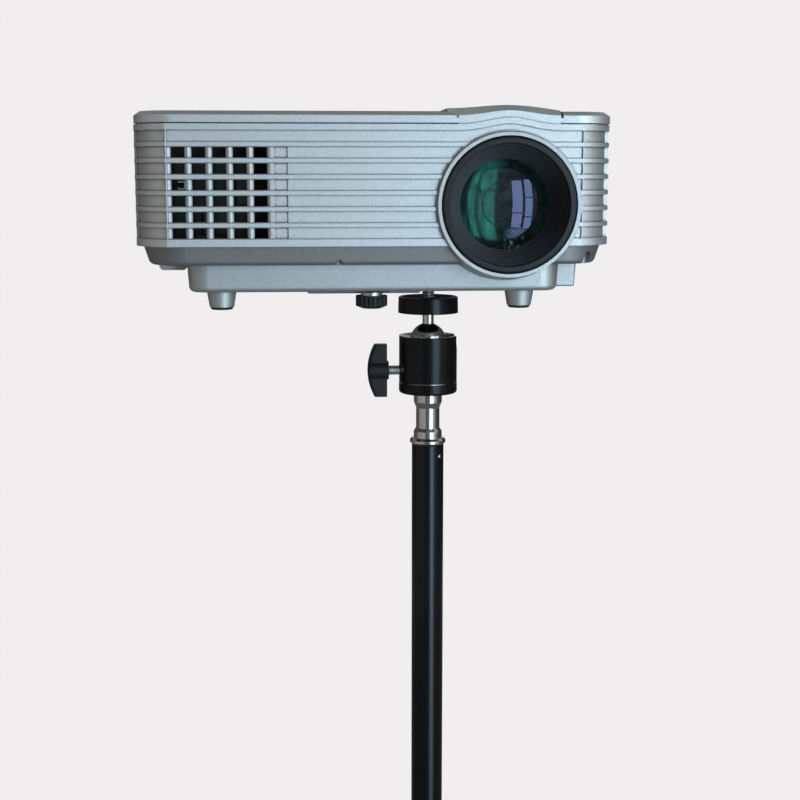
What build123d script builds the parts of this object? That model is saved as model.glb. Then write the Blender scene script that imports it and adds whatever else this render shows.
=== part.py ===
from build123d import *
import os
from math import atan2, degrees, hypot, radians, sqrt, tan

# A portable LED projector screwed on a small ball head, on a telescopic tripod stand.
# Millimetres, +Z up. The origin is on the floor under the pole's axis, and the lens looks along -Y.

# Projector case
body_width = 214.6
body_depth = 150.0
wall_corner = 22.8
wall_seam_inset = 15.4
wall_height = 53.3
case_wall = 2.4
least_radius = 0.8
overcut = 1.0
socket_offset = 29.4
socket_depth = 68.0

# Horizontal ribs of the case wall
band_count = 7
rib_width = 1.85
base_rib = 3.3
top_rib = 2.7
front_rib_depth = 1.0
side_rib_depth = 2.0

# Top cover and the arched hood panel over the lens
cover_inset = 0.5
cover_corner = 18.0
lip_height = 3.8
bevel_height = 1.8
bevel_run = 2.6
seam_height = 0.5
seam_depth = 0.9
hood_half_width = 22.7
hood_rise = 3.0
hood_lip_rise = 2.2
hood_length = 72.0
hood_notch = 0.9
hood_notch_drop = 1.0
hood_flat_length = 24.0
hood_flare = 5.0
crown_rise = 2.8
crown_left = 1.3
crown_right = 0.4
crown_fall = 0.15
key_count = 4
key_radius = 4.2
key_ring = 11.5
key_rise = 0.9
key_gap = 0.25
key_well_depth = 0.8
key_edge = 0.35
key_flange = 1.0

# Cooling grille and the blind pockets beside it
grille_columns = 5
grille_pitch = 8.94
grille_margin = 2.3
hole_width = 5.85
hole_lip = 0.3
hole_bevel_run = 1.25
hole_bevel_depth = 0.7
pocket_depth = 0.8
band_end = 0.5
band_lens_gap = 0.3
louvre_length = 62.0
louvre_height = 2.6

# Chin and tray under the case wall
chin_height = 8.6
chin_inset = 2.9
chin_taper = 18.0
chin_round = 2.6
tray_height = 12.6
tray_side_setback = 22.15
tray_setback = 12.0
tray_rear_setback = 14.0
tray_corner = 9.5
tray_edge = 2.6
tray_draft = 4.0
duct_setback = 37.0
duct_length = 74.0
duct_width = 11.0
duct_gap = 1.0
duct_draft = 4.0
duct_round = 1.8
rail_height = 3.9
rail_width = 12.8
pad_width = 54.0
pad_length = 46.0
pad_thickness = 2.4
pad_setback = 24.0
screw_well_radius = 2.3
screw_well_depth = 5.4
screw_well_inset = 11.9
screw_well_reach = 2.1
middle_well_offset = 16.5
middle_well_reach = 0.7

# Feet under the tray
foot_inset = 16.5
foot_shift = -1.2
foot_setback = 24.0
foot_rear_setback = 28.0
foot_height = 7.2
foot_top_radius = 6.8
foot_bottom_radius = 5.6
foot_pad_height = 1.2
foot_pad_edge = 0.5
levelling_radius = 7.3
levelling_height = 5.9
levelling_collar_radius = 5.0
levelling_collar_height = 1.7
levelling_flange_radius = 8.6
levelling_flange_height = 0.7
levelling_screw_radius = 2.5
levelling_screw_length = 12.0
levelling_flutes = 20
levelling_flute_radius = 0.66
levelling_dome = 1.2
levelling_dome_radius = 4.4

# Lens
lens_side_setback = 48.5
lens_height = 39.2
ring_radius = 30.1
ring_proud = 2.6
ring_rim = 3.2
ring_depth = 13.0
collar_width = 1.6
collar_proud = 2.0
collar_draft = 7.5
collar_reach = 15.0
glass_radius = 21.0
glass_bulge = 4.2
glass_edge = 3.0
barrel_wall = 3.0
barrel_length = 20.0
sleeve_wall = 2.4
ring_steps = 5
ring_edge = 0.96

# Rear sockets and the board behind the grille
inlet_width = 21.0
inlet_height = 14.0
inlet_depth = 12.0
inlet_wall = 2.6
inlet_round = 3.9
port_strip_width = 78.0
port_strip_height = 15.0
port_depth = 2.0
port_count = 5
wide_ports = ((14.6, 5.1), (13.1, 5.4), (12.8, 6.3))
jack_radius = 3.9
vent_slot_width = 3.0
vent_slot_height = 34.0
vent_pitch = 6.0
vent_margin = 8.0
board_width = 62.0
board_height = 44.0
board_thickness = 1.6
board_setback = 26.0

# Ball head
plate_radius = 14.9
plate_height = 7.9
plate_gap = 7.0
plate_rim = 1.3
plate_recess = 0.9
plate_edge = 0.4
plate_taper = 0.2
plate_pad_thickness = 0.6
plate_pad_gap = 0.8
screw_radius = 3.175
screw_engagement = 5.5
stem_radius = 2.8
stem_length = 5.1
stem_seat = 3.5
ball_radius = 8.9
housing_radius = 14.4
housing_height = 22.9
housing_above_ball = 2.6
mouth_above_ball = 1.4
rim_bevel = 1.3
rim_width = 1.0
notch_width = 9.0
ball_clearance = 0.15
base_radius = 14.5
base_height = 5.2
base_round = 1.4
base_bore_depth = 4.2
washer_radius = 12.6
washer_height = 0.6
clamp_drop = 14.8
clamp_screw_radius = 2.5
clamp_screw_insert = 6.0
clamp_screw_end_gap = 0.5
clamp_screw_gap = 5.4
knob_height = 26.2
knob_width = 10.4
knob_tip_width = 7.0
knob_thickness = 5.4
knob_hub_radius = 4.7
knob_hub_length = 9.6
knob_hub_step = 0.8
knob_round = 1.6

# Pole with its spigot
spigot_collar_radius = 7.05
spigot_waist_radius = 5.9
spigot_collar_height = 4.7
spigot_cone_height = 2.9
spigot_waist_height = 10.2
spigot_lower_height = 4.9
spigot_flange_radius = 9.0
spigot_flange_height = 3.5
spigot_plug_length = 24.0
spigot_chamfer_height = 1.7
spigot_thread_length = 3.6
top_tube_radius = 8.0
tube_wall = 1.0
top_tube_exposed = 330.0
top_tube_inserted = 100.0
lower_tube_radius = 11.0
lower_tube_length = 452.0
lower_tube_lift = 46.0
clamp_height = 42.0
clamp_overlap = 24.0
clamp_wall = 4.5
clamp_edge = 1.0
running_gap = 0.06
seat_gap = 0.05

# Tripod base
leg_count = 3
leg_first_bearing = -90.0
leg_spread = 275.0
leg_radius = 6.5
leg_wall = 1.0
leg_hub_height = 300.0
leg_hub_length = 40.0
leg_pivot_radius = 25.0
leg_tip_radius = 9.0
leg_tip_lift = 7.0
leg_tip_length = 24.0
brace_share = 0.46
brace_width = 12.0
brace_thickness = 2.0
brace_hub_length = 30.0
hub_edge = 1.0
lug_gap = 1.0
fork_cheek = 3.0
leg_end_gap = 2.0
brace_pivot_radius = 22.0
ear_thickness = 5.0
ear_width = 13.0
pin_radius = 2.4
hub_wall = 4.0
star_knob_radius = 12.0
star_knob_thickness = 12.0
star_knob_lobes = 6
star_knob_stem = 3.0
star_knob_reach = 9.0
star_knob_edge = 1.2
star_knob_scallop = 4.3
boss_radius = 6.6
boss_rise = 2.0

# Levels worked out from the floor up
clamp_top = lower_tube_lift + lower_tube_length - clamp_overlap + clamp_height
tube_top = clamp_top + top_tube_exposed
spigot_height = (
    spigot_flange_height + spigot_lower_height + spigot_waist_height
    + spigot_cone_height + spigot_collar_height
)
base_bottom = tube_top + spigot_height
housing_bottom = base_bottom + base_height + washer_height
housing_top = housing_bottom + housing_height
ball_level = housing_top - housing_above_ball
plate_bottom = ball_level + ball_radius + stem_length
plate_top = plate_bottom + plate_height
tray_bottom = plate_top + plate_gap
chin_bottom = tray_bottom + tray_height
wall_bottom = chin_bottom + chin_height
wall_top = wall_bottom + wall_height
cover_height = lip_height + bevel_height

# Places worked out in plan
case_x = -socket_offset
front_y = -socket_depth
rear_y = front_y + body_depth
case_y = (front_y + rear_y) / 2
lens_x = case_x + body_width / 2 - lens_side_setback
lens_z = tray_bottom + lens_height
flat_half = body_width / 2 - wall_seam_inset
wall_arc_rise = sqrt(wall_corner**2 - (wall_corner - wall_seam_inset) ** 2)
tray_width = body_width - 2 * tray_side_setback
foot_spacing = tray_width - 2 * foot_inset
panel_thickness = case_wall + front_rib_depth
side_thickness = case_wall + side_rib_depth
band_height = (wall_height - base_rib - top_rib - (band_count - 1) * rib_width) / band_count
band_levels = [wall_bottom + base_rib + i * (band_height + rib_width) for i in range(band_count)]
collar_radius = ring_radius + ball_clearance * 2 + collar_width
collar_back_radius = collar_radius + (collar_proud + collar_reach) * tan(radians(collar_draft))
collar_foot_radius = collar_radius + (collar_proud + front_rib_depth) * tan(radians(collar_draft))


def turned(points):
    """A solid turned about Z from (radius, height) points."""
    outline = Polyline([(radius, 0, height) for radius, height in points], close=True)
    return revolve(make_face(outline), Axis.Z)


def upright(radius, height, level, x=0.0, y=0.0):
    """A vertical cylinder that starts at a level."""
    return Pos(x, y, level + height / 2) * Cylinder(radius, height)


def block(x_from, x_to, y_from, y_to, z_from, z_to):
    """A box between three pairs of faces."""
    middle = Pos((x_from + x_to) / 2, (y_from + y_to) / 2, (z_from + z_to) / 2)
    return middle * Box(x_to - x_from, y_to - y_from, z_to - z_from)


def plan(inset, level, corner, longer=0.0):
    """The case's rounded outline, drawn in by an inset, at a level."""
    size = RectangleRounded(
        body_width - 2 * inset, body_depth + longer - 2 * inset, max(corner - inset, least_radius)
    )
    return Pos(case_x, case_y, level) * size


def wall_plan(inset, level):
    """The outline of the side walls, whose corners meet the front and rear panels at an angle."""
    return plan(inset, level, wall_corner, 2 * (wall_corner - wall_arc_rise))


def cover_plan(inset, level):
    """The top cover's outline, a little inside the walls."""
    return plan(cover_inset + inset, level, cover_corner)


def along_lens(solid):
    """Stands a turned solid on the lens axis, its Z running back from the case's front."""
    return Pos(lens_x, front_y, lens_z) * Rot(-90, 0, 0) * solid


def arched(level, rise=hood_rise):
    """A line that swells up over the lens at a level, flat at both ends, from left to right."""
    left = (lens_x - hood_half_width, front_y, level)
    crown = (lens_x, front_y, level + rise)
    right = (lens_x + hood_half_width, front_y, level)
    return Spline(left, crown, right, tangents=[(1, 0, 0), (1, 0, 0)])


def arch_topped(x_from, x_to, z_from, z_to):
    """A face in the front plane whose top edge arches over the lens."""
    return make_face(
        [
            Line((x_from, front_y, z_from), (x_to, front_y, z_from)),
            Line((x_to, front_y, z_from), (x_to, front_y, z_to)),
            Line((x_to, front_y, z_to), (lens_x + hood_half_width, front_y, z_to)),
            arched(z_to),
            Line((lens_x - hood_half_width, front_y, z_to), (x_from, front_y, z_to)),
            Line((x_from, front_y, z_to), (x_from, front_y, z_from)),
        ]
    )


def lens_space(margin):
    """The tapered room that the lens collar and its sleeve take, widened by a margin."""
    front = -collar_proud - ring_proud
    narrow = collar_radius + margin - ring_proud * tan(radians(collar_draft))
    wide = collar_back_radius + margin
    back = collar_reach + margin
    sleeve = barrel_radius() + running_gap + sleeve_wall + margin
    sleeve_end = ring_depth + barrel_length + margin
    return along_lens(
        turned(
            [(0, front), (narrow, front), (wide, back), (sleeve, back), (sleeve, sleeve_end), (0, sleeve_end)]
        )
    )


# Front panel: ribs and bands, grille, blind pockets, and a top edge that arches over the lens
def front_panel():
    left, right = case_x - flat_half, case_x + flat_half
    back = (0, 1, 0)
    panel = extrude(arch_topped(left, right, wall_bottom, wall_top), amount=panel_thickness, dir=back)
    band_left, band_right = left + band_end, right - band_end
    floor = front_y + front_rib_depth
    bands = [
        block(band_left, band_right, front_y, floor, low, low + band_height) for low in band_levels[:-1]
    ]
    top_low = band_levels[-1]
    top_band = arch_topped(band_left, band_right, top_low, top_low + band_height)
    bands.append(extrude(top_band, amount=front_rib_depth, dir=back))
    land = along_lens(Cylinder(collar_foot_radius + band_lens_gap, 4 * panel_thickness))
    panel -= Part() + [band - land for band in bands]
    holes = []
    for low in band_levels[:-1]:
        z_from, z_to = low + hole_lip, low + band_height - hole_lip
        for column in range(grille_columns):
            holes.append(grille_hole(left + grille_margin + column * grille_pitch, floor, z_from, z_to))
        x = left + grille_margin + grille_columns * grille_pitch
        holes.append(block(x, x + hole_width, front_y, floor + pocket_depth, z_from, z_to))
    panel -= Part() + holes
    return panel - lens_space(seat_gap)


def grille_hole(x, floor, z_from, z_to):
    """The room of one hole of the grille, its left and right edges bevelled."""
    run, deep = hole_bevel_run, floor + hole_bevel_depth
    x_end, back = x + hole_width, front_y + panel_thickness + overcut
    outline = Polyline(
        [(x - run, floor, z_from), (x_end + run, floor, z_from), (x_end, deep, z_from),
         (x_end, back, z_from), (x, back, z_from), (x, deep, z_from)],
        close=True,
    )
    return extrude(make_face(outline), amount=z_to - z_from, dir=(0, 0, 1))


# Side walls: each wraps round two corners, grooved there between ribs and plain along the side
def side_walls():
    ring = extrude(wall_plan(0, wall_bottom) - wall_plan(side_thickness, wall_bottom), wall_height)
    groove = wall_plan(-overcut, 0) - wall_plan(side_rib_depth, 0)
    reach = body_width
    plain = block(
        case_x - reach, case_x + reach, front_y + wall_arc_rise, rear_y - wall_arc_rise, wall_bottom, wall_top
    )
    for low in band_levels:
        ring -= extrude(Pos(0, 0, low) * groove, band_height) - plain
    left = block(case_x - reach, case_x - flat_half, front_y, rear_y, wall_bottom, wall_top)
    right = block(case_x + flat_half, case_x + reach, front_y, rear_y, wall_bottom, wall_top)
    louvres = [
        block(
            case_x - reach, case_x - flat_half, case_y - louvre_length / 2, case_y + louvre_length / 2,
            low + (band_height - louvre_height) / 2, low + (band_height + louvre_height) / 2,
        )
        for low in band_levels[:-1]
    ]
    return (ring & left) - (Part() + louvres), ring & right


# Rear panel with its exhaust slots and the seats of the power inlet and the sockets
def rear_panel():
    panel = block(
        case_x - flat_half, case_x + flat_half, rear_y - panel_thickness, rear_y, wall_bottom, wall_top
    )
    room = ports_x() - port_strip_width / 2 - 2 * vent_margin - (case_x - flat_half)
    slots = [
        Pos(case_x - flat_half + vent_margin + i * vent_pitch, rear_y, (wall_bottom + wall_top) / 2)
        * Box(vent_slot_width, 4 * panel_thickness, vent_slot_height)
        for i in range(int(room / vent_pitch) + 1)
    ]
    panel -= Part() + slots
    panel -= Pos(inlet_x(), rear_y, inlet_z()) * Box(inlet_width, 4 * panel_thickness, inlet_height)
    return panel - Pos(ports_x(), rear_y, inlet_z()) * Box(
        port_strip_width, 4 * panel_thickness, port_strip_height
    )


def inlet_x():
    """The power inlet stands near the right end of the rear panel."""
    return case_x + flat_half - inlet_width


def inlet_z():
    return wall_bottom + base_rib + inlet_height


def ports_x():
    """The socket strip stands between the exhaust slots and the power inlet."""
    return inlet_x() - inlet_width / 2 - port_strip_width / 2 - vent_pitch


def power_inlet():
    """A two-pin appliance inlet: a moulded cup, open to the rear."""
    cup = Box(inlet_width, inlet_depth, inlet_height)
    cavity = Box(inlet_width - 2 * inlet_wall, inlet_depth, inlet_height - 2 * inlet_wall)
    cavity = fillet(cavity.edges().filter_by(Axis.Y), inlet_round)
    cup -= Pos(0, inlet_wall, 0) * cavity
    return Pos(inlet_x(), rear_y - inlet_depth / 2, inlet_z()) * cup


def port_strip():
    """The strip that carries the picture and sound sockets, each a shallow pocket."""
    strip = Pos(ports_x(), rear_y - panel_thickness / 2, inlet_z()) * Box(
        port_strip_width, panel_thickness, port_strip_height
    )
    pitch = port_strip_width / port_count
    first = ports_x() - (port_count - 1) * pitch / 2
    rooms = [Box(width, 2 * port_depth, height) for width, height in wide_ports]
    jack = Rot(90, 0, 0) * Cylinder(jack_radius, 2 * port_depth)
    rooms += [jack] * (port_count - len(rooms))
    pockets = [Pos(first + i * pitch, rear_y, inlet_z()) * room for i, room in enumerate(rooms)]
    return strip - (Part() + pockets)


# Top cover: a shallow cap with a bevelled edge and a shadow seam over the walls
def top_cover():
    lip = extrude(cover_plan(0, wall_top), lip_height)
    rim, crown = cover_plan(0, wall_top + lip_height), cover_plan(bevel_run, wall_top + cover_height)
    cap = lip + loft([rim, crown], ruled=True)
    cap -= extrude(cover_plan(side_thickness, wall_top), cover_height - case_wall)
    cap -= extrude(cover_plan(-overcut, wall_top) - cover_plan(seam_depth, wall_top), seam_height)
    up = (0, 0, 1)
    cap -= extrude(hood_plan(0, hood_length), amount=2 * cover_height, dir=up)
    notch_lift = lip_height - hood_notch_drop
    cap -= extrude(Pos(0, 0, notch_lift) * hood_plan(hood_notch, 2 * bevel_run), amount=cover_height, dir=up)
    well = key_ring + 2 * key_radius
    well_low = wall_top + cover_height - key_well_depth
    cap -= upright(well, key_well_depth, well_low, key_x(), case_y)
    through = upright(key_radius + key_gap, 2 * cover_height, wall_top)
    return cap - (Part() + [Pos(x, y, 0) * through for x, y in key_places()])


def key_x():
    """The control keys stand in a round well on the grille side of the top."""
    return case_x - body_width / 5


def key_places():
    around = [Rot(0, 0, i * 360 / key_count) * Pos(key_ring, 0, 0) for i in range(key_count)]
    return [(key_x(), case_y)] + [(key_x() + p.position.X, case_y + p.position.Y) for p in around]


def control_key(x, y):
    """A round push key with a softened edge, on a flange under the cover."""
    top = wall_top + cover_height - key_well_depth + key_rise
    under = wall_top + cover_height - case_wall
    key = upright(key_radius, top - under, under, x, y)
    key = chamfer(key.edges().sort_by(Axis.Z)[-1], key_edge)
    return key + upright(key_radius + key_flange, key_flange, under - key_flange, x, y)


# Hood panel: an arched inlay that falls from over the lens to the flat of the top cover
def hood_plan(margin, length):
    """The hood panel's outline at the walls' top, flared to the grille side along the bevel."""
    left, right = lens_x - hood_half_width - margin, lens_x + hood_half_width + margin
    lip_y, bevel_y = front_y + cover_inset, front_y + cover_inset + bevel_run
    corners = [
        (left, front_y), (right, front_y), (right, front_y + length), (left - hood_flare, front_y + length),
        (left - hood_flare, bevel_y), (left, lip_y),
    ]
    return make_face(Polyline([(x, y, wall_top) for x, y in corners], close=True))


def hood_profile(left, ridge):
    """A face in the front plane from the walls' top up to a ridge line."""
    right = lens_x + hood_half_width
    return make_face(
        [
            Line((left, front_y, wall_top), (right, front_y, wall_top)),
            Line((right, front_y, wall_top), ridge @ 1),
            ridge,
            Line(ridge @ 0, (left, front_y, wall_top)),
        ]
    )


def lens_hood_panel():
    left, right = lens_x - hood_half_width, lens_x + hood_half_width
    top_level = wall_top + cover_height
    crown_ridge = Spline(
        (left - hood_flare, front_y, top_level + crown_left),
        (lens_x, front_y, top_level + crown_rise),
        (right, front_y, top_level + crown_right),
        tangents=[(1, 0, 0), (1, 0, -crown_fall)],
    )
    lip = Pos(0, cover_inset, 0) * hood_profile(left, arched(wall_top + lip_height, hood_lip_rise))
    crown = Pos(0, cover_inset + bevel_run, 0) * hood_profile(left - hood_flare, crown_ridge)
    hood = loft([lip, crown], ruled=True)
    hood += extrude(crown, amount=hood_length - cover_inset - bevel_run, dir=(0, 1, 0))
    crest, end = top_level + crown_rise, front_y + hood_length
    side = lens_x - body_width
    fall = Polyline(
        [(side, front_y + hood_flat_length, crest), (side, front_y + hood_flat_length, crest + crown_rise),
         (side, end, crest + crown_rise), (side, end, top_level)],
        close=True,
    )
    hood -= extrude(make_face(fall), amount=2 * body_width, dir=(1, 0, 0))
    hood -= extrude(
        arch_topped(left - 2 * hood_flare, right + 2 * hood_flare, wall_bottom, wall_top),
        amount=panel_thickness, dir=(0, 1, 0),
    )
    return hood - block(
        left - hood_flare + case_wall, right - case_wall,
        front_y + panel_thickness, end - case_wall, wall_top, top_level - case_wall,
    )


# Chin and tray: the tapering underside of the case, cut round the lens collar
def chin_plan(inset, level):
    """The chin's outline under the walls, with the walls' wide corners."""
    return plan(chin_inset + inset, level, wall_corner)


def bottom_shell():
    spread = chin_height * tan(radians(chin_taper))
    outer = loft([chin_plan(spread, chin_bottom), chin_plan(0, wall_bottom)], ruled=True)
    outer = fillet(outer.faces().sort_by(Axis.Z)[0].edges(), chin_round)
    room = loft(
        [
            chin_plan(spread + case_wall, chin_bottom + case_wall),
            chin_plan(case_wall, wall_bottom),
        ],
        ruled=True,
    )
    wells = [upright(screw_well_radius, screw_well_depth, chin_bottom, x, y) for x, y in screw_wells()]
    well_walls = [
        upright(screw_well_radius + case_wall / 2, screw_well_depth + case_wall / 2, chin_bottom, x, y)
        for x, y in screw_wells()
    ]
    shell = outer - (room - (Part() + well_walls))
    return shell - (Part() + wells) - lens_space(seat_gap)


def screw_wells():
    """Places of the wells for the case screws, which break out of the chin's sloping face."""
    inset = chin_inset + chin_height * tan(radians(chin_taper))
    edge = inset + screw_well_radius
    corner = wall_corner - inset
    recess = corner - sqrt(corner**2 - (wall_corner - screw_well_inset) ** 2)
    side = body_width / 2 - screw_well_inset
    front, middle = front_y + edge + recess - screw_well_reach, front_y + edge - middle_well_reach
    rear = rear_y - edge - recess + screw_well_reach
    return [
        (case_x + side, front), (case_x - middle_well_offset, middle),
        (case_x + side, rear), (case_x - side, rear),
    ]


def tray_plan(inset, level):
    depth = body_depth - tray_setback - tray_rear_setback
    y = front_y + tray_setback + depth / 2
    radius = max(tray_corner - inset, least_radius)
    return Pos(case_x, y, level) * RectangleRounded(tray_width - 2 * inset, depth - 2 * inset, radius)


def bottom_tray():
    drawn_in = tray_height * tan(radians(tray_draft))
    tray = loft([tray_plan(drawn_in, tray_bottom), tray_plan(0, chin_bottom)], ruled=True)
    edge = tray.faces().sort_by(Axis.Z)[0].edges()
    tray = fillet(edge, tray_edge)
    room_bottom = tray_bottom + case_wall
    room = extrude(tray_plan(drawn_in + case_wall, room_bottom), chin_bottom - room_bottom)
    nest = upright(socket_outer() + case_wall, socket_length() + case_wall, tray_bottom)
    post_x, post_y = levelling_x(), levelling_y()
    post = upright(levelling_screw_radius + case_wall, levelling_screw_length, tray_bottom, post_x, post_y)
    tray -= room - nest - post
    tray -= upright(socket_outer() + seat_gap, socket_length(), tray_bottom)
    tray -= upright(levelling_screw_radius + running_gap, levelling_screw_length, tray_bottom, post_x, post_y)
    return tray - lens_space(seat_gap)


def socket_outer():
    """Outer radius of the threaded bush for the camera screw."""
    return screw_radius + case_wall


def socket_length():
    return screw_engagement + case_wall


def levelling_x():
    """The feet stand a little to the grille side of the case's middle, the levelling foot midway."""
    return case_x + foot_shift


def levelling_y():
    return front_y + foot_setback


def tripod_socket():
    """The metal bush in the tray that takes the camera screw."""
    bush = upright(socket_outer(), socket_length(), tray_bottom)
    return bush - upright(screw_radius + seat_gap, screw_engagement, tray_bottom)


def side_duct():
    """The deep box beside the tray, under the lens side, drafted and rounded below."""
    x = case_x + tray_width / 2 + duct_gap + duct_width / 2
    y = front_y + duct_setback + duct_length / 2
    outline = Pos(x, y, chin_bottom) * RectangleRounded(duct_width, duct_length, duct_round)
    duct = extrude(outline, amount=tray_height, dir=(0, 0, -1), taper=duct_draft)
    return fillet(duct.faces().sort_by(Axis.Z)[0].edges(), duct_round / 2)


def side_rail():
    """The shallow box beside the tray, under the grille side."""
    x_to = case_x - tray_width / 2 - duct_gap
    y_from = front_y + duct_setback
    low = chin_bottom - rail_height
    rail = block(x_to - rail_width, x_to, y_from, y_from + duct_length, low, chin_bottom)
    edges = rail.edges().filter_by(Axis.Y).sort_by(Axis.Z)[:2]
    return chamfer(edges, tray_edge / 2)


def underside_pad():
    """The raised plate in the middle of the tray's underside."""
    x_to = -socket_outer() - overcut
    y_from = front_y + pad_setback + levelling_flange_radius
    low = tray_bottom - pad_thickness
    pad = block(x_to - pad_width, x_to, y_from, y_from + pad_length, low, tray_bottom)
    edges = pad.faces().sort_by(Axis.Z)[0].edges()
    return chamfer(edges, pad_thickness / 2)


# Feet
def foot_places():
    rear = front_y + body_depth - foot_rear_setback
    sides = (levelling_x() - foot_spacing / 2, levelling_x() + foot_spacing / 2)
    return [(x, y) for y in (front_y + foot_setback, rear) for x in sides]


def projector_foot(x, y):
    foot = turned([(0, 0), (foot_top_radius, 0), (foot_bottom_radius, -foot_height), (0, -foot_height)])
    return Pos(x, y, tray_bottom) * foot


def foot_pad(x, y):
    radius, low = foot_bottom_radius - foot_pad_edge, -foot_pad_height
    pad = turned(
        [(0, 0), (radius, 0), (radius, low + foot_pad_edge), (radius - foot_pad_edge, low), (0, low)]
    )
    return Pos(x, y, tray_bottom - foot_height) * pad


def levelling_flange():
    ring = upright(levelling_flange_radius, levelling_flange_height, 0)
    ring -= upright(levelling_screw_radius + running_gap, levelling_flange_height, 0)
    return Pos(levelling_x(), levelling_y(), tray_bottom - levelling_flange_height) * ring


def levelling_screw():
    """The threaded post in the tray, with the bright collar over the thumb wheel."""
    top = levelling_flange_height + levelling_screw_length - overcut
    screw = upright(levelling_screw_radius, top + levelling_collar_height, -levelling_collar_height)
    screw += upright(levelling_collar_radius, levelling_collar_height - seat_gap, -levelling_collar_height)
    return Pos(levelling_x(), levelling_y(), tray_bottom - levelling_flange_height - seat_gap) * screw


def levelling_wheel():
    """The fluted thumb wheel with its domed underside."""
    low = -levelling_height
    wheel = turned(
        [(0, 0), (levelling_radius, 0), (levelling_radius, low + levelling_dome),
         (levelling_dome_radius, low), (0, low)]
    )
    flute = upright(levelling_flute_radius, levelling_height, low)
    wheel -= Part() + [
        Rot(0, 0, i * 360 / levelling_flutes) * Pos(levelling_radius, 0, 0) * flute
        for i in range(levelling_flutes)
    ]
    top = tray_bottom - levelling_flange_height - levelling_collar_height - seat_gap
    return Pos(levelling_x(), levelling_y(), top) * wheel


# Lens: a fixed collar with its sleeve, the turning focus ring and the front glass
def lens_collar():
    inner = ring_radius + 2 * ball_clearance
    bore = barrel_radius() + running_gap
    sleeve_end = ring_depth + barrel_length
    web = collar_reach - sleeve_wall
    return along_lens(
        turned(
            [
                (inner, -collar_proud),
                (collar_radius, -collar_proud),
                (collar_back_radius, collar_reach),
                (bore + sleeve_wall, collar_reach),
                (bore + sleeve_wall, sleeve_end),
                (bore, sleeve_end),
                (bore, web),
                (inner, web),
            ]
        )
    )


def barrel_radius():
    return glass_radius + barrel_wall


def focus_ring():
    """The black ring: a rim, a deep cone stepped with fine grooves, and the barrel behind it."""
    mouth = ring_radius - ring_rim
    step_in = (mouth - glass_radius) / ring_steps
    step_back = (ring_depth + ring_proud) / ring_steps
    cone = []
    for i in range(ring_steps):
        cone.append((mouth - i * step_in, -ring_proud + i * step_back))
        cone.append((mouth - (i + 0.5) * step_in, -ring_proud + (i + 1) * step_back))
    web = collar_reach - sleeve_wall - 2 * ball_clearance
    barrel_end = ring_depth + barrel_length - overcut
    points = [
        (ring_radius - ring_edge, -ring_proud),
        (ring_radius, -ring_proud + ring_edge),
        (ring_radius, web),
        (barrel_radius(), web),
        (barrel_radius(), barrel_end),
        (glass_radius + seat_gap, barrel_end),
        (glass_radius + seat_gap, ring_depth),
        (glass_radius - step_in / 2, ring_depth),
    ]
    return along_lens(turned(points + cone[::-1][1:]))


def front_lens():
    """The front glass, convex outwards, seated behind the ring's cone."""
    crown = glass_radius - overcut
    curve = (crown**2 + glass_bulge**2) / (2 * glass_bulge)
    dome = Pos(0, 0, ring_depth - glass_bulge + curve) * Sphere(curve)
    dome &= upright(crown, 2 * glass_bulge, ring_depth - 2 * glass_bulge)
    return along_lens(dome + upright(glass_radius, glass_edge, ring_depth))


def driver_board():
    """The circuit board that shows dark behind the grille, standing on the case floor."""
    x_from = case_x - flat_half
    y_from = front_y + board_setback
    floor = chin_bottom + case_wall
    return block(x_from, x_from + board_width, y_from, y_from + board_thickness, floor, floor + board_height)


# Ball head
def head_plate():
    recess, rim = plate_radius - plate_rim, plate_radius - plate_taper
    floor = plate_height - plate_recess
    plate = turned(
        [(0, 0), (plate_radius, 0), (rim, plate_height - plate_edge), (rim - plate_edge, plate_height),
         (recess, plate_height), (recess - plate_edge, floor), (0, floor)]
    )
    plate = Pos(0, 0, plate_bottom) * plate
    return plate - upright(screw_radius + seat_gap, plate_height, plate_bottom + plate_height / 2)


def plate_pad():
    radius = plate_radius - plate_rim - plate_pad_gap
    pad = upright(radius, plate_pad_thickness, plate_top - plate_recess)
    return pad - upright(screw_radius + seat_gap, plate_height, plate_top - plate_height / 2)


def camera_screw():
    low = plate_bottom + plate_height / 2
    return upright(screw_radius, tray_bottom + screw_engagement - low, low)


def ball_joint():
    ball = Pos(0, 0, ball_level) * Sphere(ball_radius)
    return ball - upright(stem_radius + seat_gap, ball_radius, ball_level + ball_radius - stem_seat)


def ball_stem():
    low = ball_level + ball_radius - stem_seat
    return upright(stem_radius, plate_bottom - low, low)


def ball_housing():
    mouth = sqrt((ball_radius + ball_clearance) ** 2 - mouth_above_ball**2)
    mouth_level = housing_top - rim_bevel
    body = turned(
        [(0, housing_bottom), (housing_radius, housing_bottom), (housing_radius, housing_top),
         (housing_radius - rim_width, housing_top), (mouth, mouth_level), (0, mouth_level)]
    )
    body -= Pos(0, 0, ball_level) * Sphere(ball_radius + ball_clearance)
    body -= upright(mouth, housing_above_ball, ball_level + mouth_above_ball)
    body -= Pos(housing_radius, 0, ball_level) * Rot(0, 90, 0) * Cylinder(notch_width / 2, housing_radius)
    half = notch_width / 2
    body -= block(housing_radius / 2, 2 * housing_radius, -half, half, ball_level, housing_top)
    bore = Cylinder(clamp_screw_radius + running_gap, clamp_screw_insert)
    return body - clamp_axis() * Pos(0, 0, housing_radius - clamp_screw_insert / 2) * bore


def clamp_axis():
    """Places things along the clamp screw, outwards to -X."""
    return Pos(0, 0, ball_level - clamp_drop) * Rot(0, -90, 0)


def clamp_screw():
    start = housing_radius - clamp_screw_insert + clamp_screw_end_gap
    end = housing_radius + clamp_screw_gap + knob_hub_radius
    return clamp_axis() * Pos(0, 0, (start + end) / 2) * Cylinder(clamp_screw_radius, end - start)


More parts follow.
